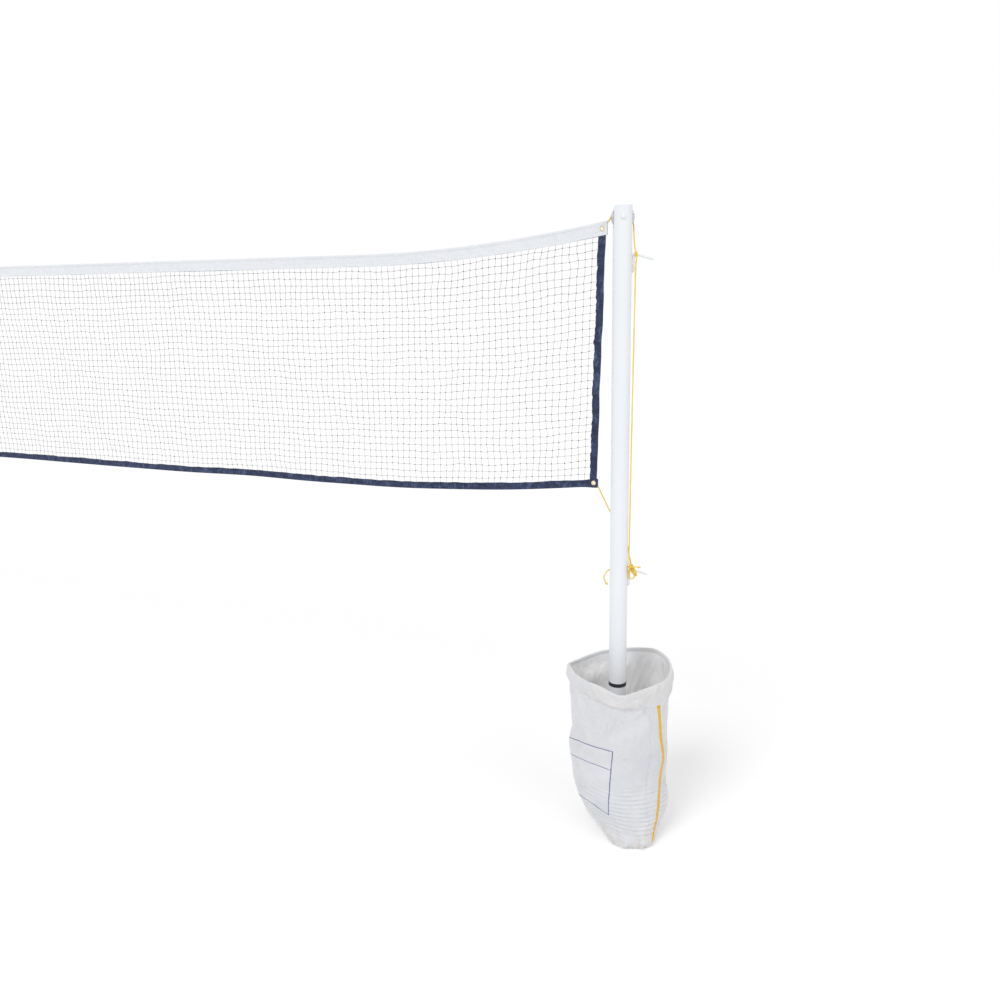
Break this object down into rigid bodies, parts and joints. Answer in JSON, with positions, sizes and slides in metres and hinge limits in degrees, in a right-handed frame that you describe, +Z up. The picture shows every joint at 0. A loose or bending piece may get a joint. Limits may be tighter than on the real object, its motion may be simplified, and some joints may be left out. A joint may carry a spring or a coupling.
{
  "type": "net on two poles",
  "caption": "Long sports net with a white top tape hung between two slotted steel poles with pulley wheels and rope cleats, each pole standing in a sand-filled woven sack.",
  "frame": {"origin": "on the floor, midway between the two poles", "axes": "+X along the net towards the right-hand pole as seen from the front, +Y to the back, +Z up"},
  "size_m": [6.517, 0.3246, 1.93],
  "materials": {
    "white_paint": "satin white paint",
    "zinc": "zinc plated",
    "black_plastic": "moulded black",
    "woven_sack": "woven white polypropylene",
    "sand": "dry loose sand",
    "cord": "braided yellow cord",
    "twine": "knotted brown twine",
    "white_tape": "sewn white canvas tape",
    "navy_tape": "sewn navy tape",
    "brass": "pressed brass"
  },
  "bodies": {
    "net_and_poles": {"pole_tube_right": "white_paint", "ground_tube_right": "white_paint", "joint_spigot_right": "zinc", "joint_ring_right": "black_plastic", "foot_cap_right": "black_plastic", "pulley_bolt_right": "white_paint", "pulley_nut_right": "zinc", "pulley_spacers_right": "zinc", "upper_cleat_right": "white_paint", "lower_cleat_right": "white_paint", "sack_right": "woven_sack", "ballast_sand_right": "sand", "halyard_right": "cord", "halyard_hitch_right": "cord", "foot_cord_right": "cord", "foot_hitch_right": "cord", "pole_tube_left": "white_paint", "ground_tube_left": "white_paint", "joint_spigot_left": "zinc", "joint_ring_left": "black_plastic", "foot_cap_left": "black_plastic", "pulley_bolt_left": "white_paint", "pulley_nut_left": "zinc", "pulley_spacers_left": "zinc", "upper_cleat_left": "white_paint", "lower_cleat_left": "white_paint", "sack_left": "woven_sack", "ballast_sand_left": "sand", "halyard_left": "cord", "halyard_hitch_left": "cord", "foot_cord_left": "cord", "foot_hitch_left": "cord", "net_mesh": "twine", "top_tape": "white_tape", "headline": "cord", "bottom_tape": "navy_tape", "foot_line": "cord", "side_tape_right": "navy_tape", "side_tape_left": "navy_tape", "net_eyelets": "brass"},
    "wheel_right": {"pulley_wheel_right": "zinc"},
    "wheel_left": {"pulley_wheel_left": "zinc"}
  },
  "joints": [
    {"name": "pulley_spin_right", "type": "hinge", "parent": "net_and_poles", "child": "wheel_right", "pos_m": [3.09, 0, 1.898], "axis": [0.342, -0.9397, 0], "continuous": true},
    {"name": "pulley_spin_left", "type": "hinge", "parent": "net_and_poles", "child": "wheel_left", "pos_m": [-3.09, 0, 1.898], "axis": [-0.342, 0.9397, 0], "continuous": true}
  ]
}
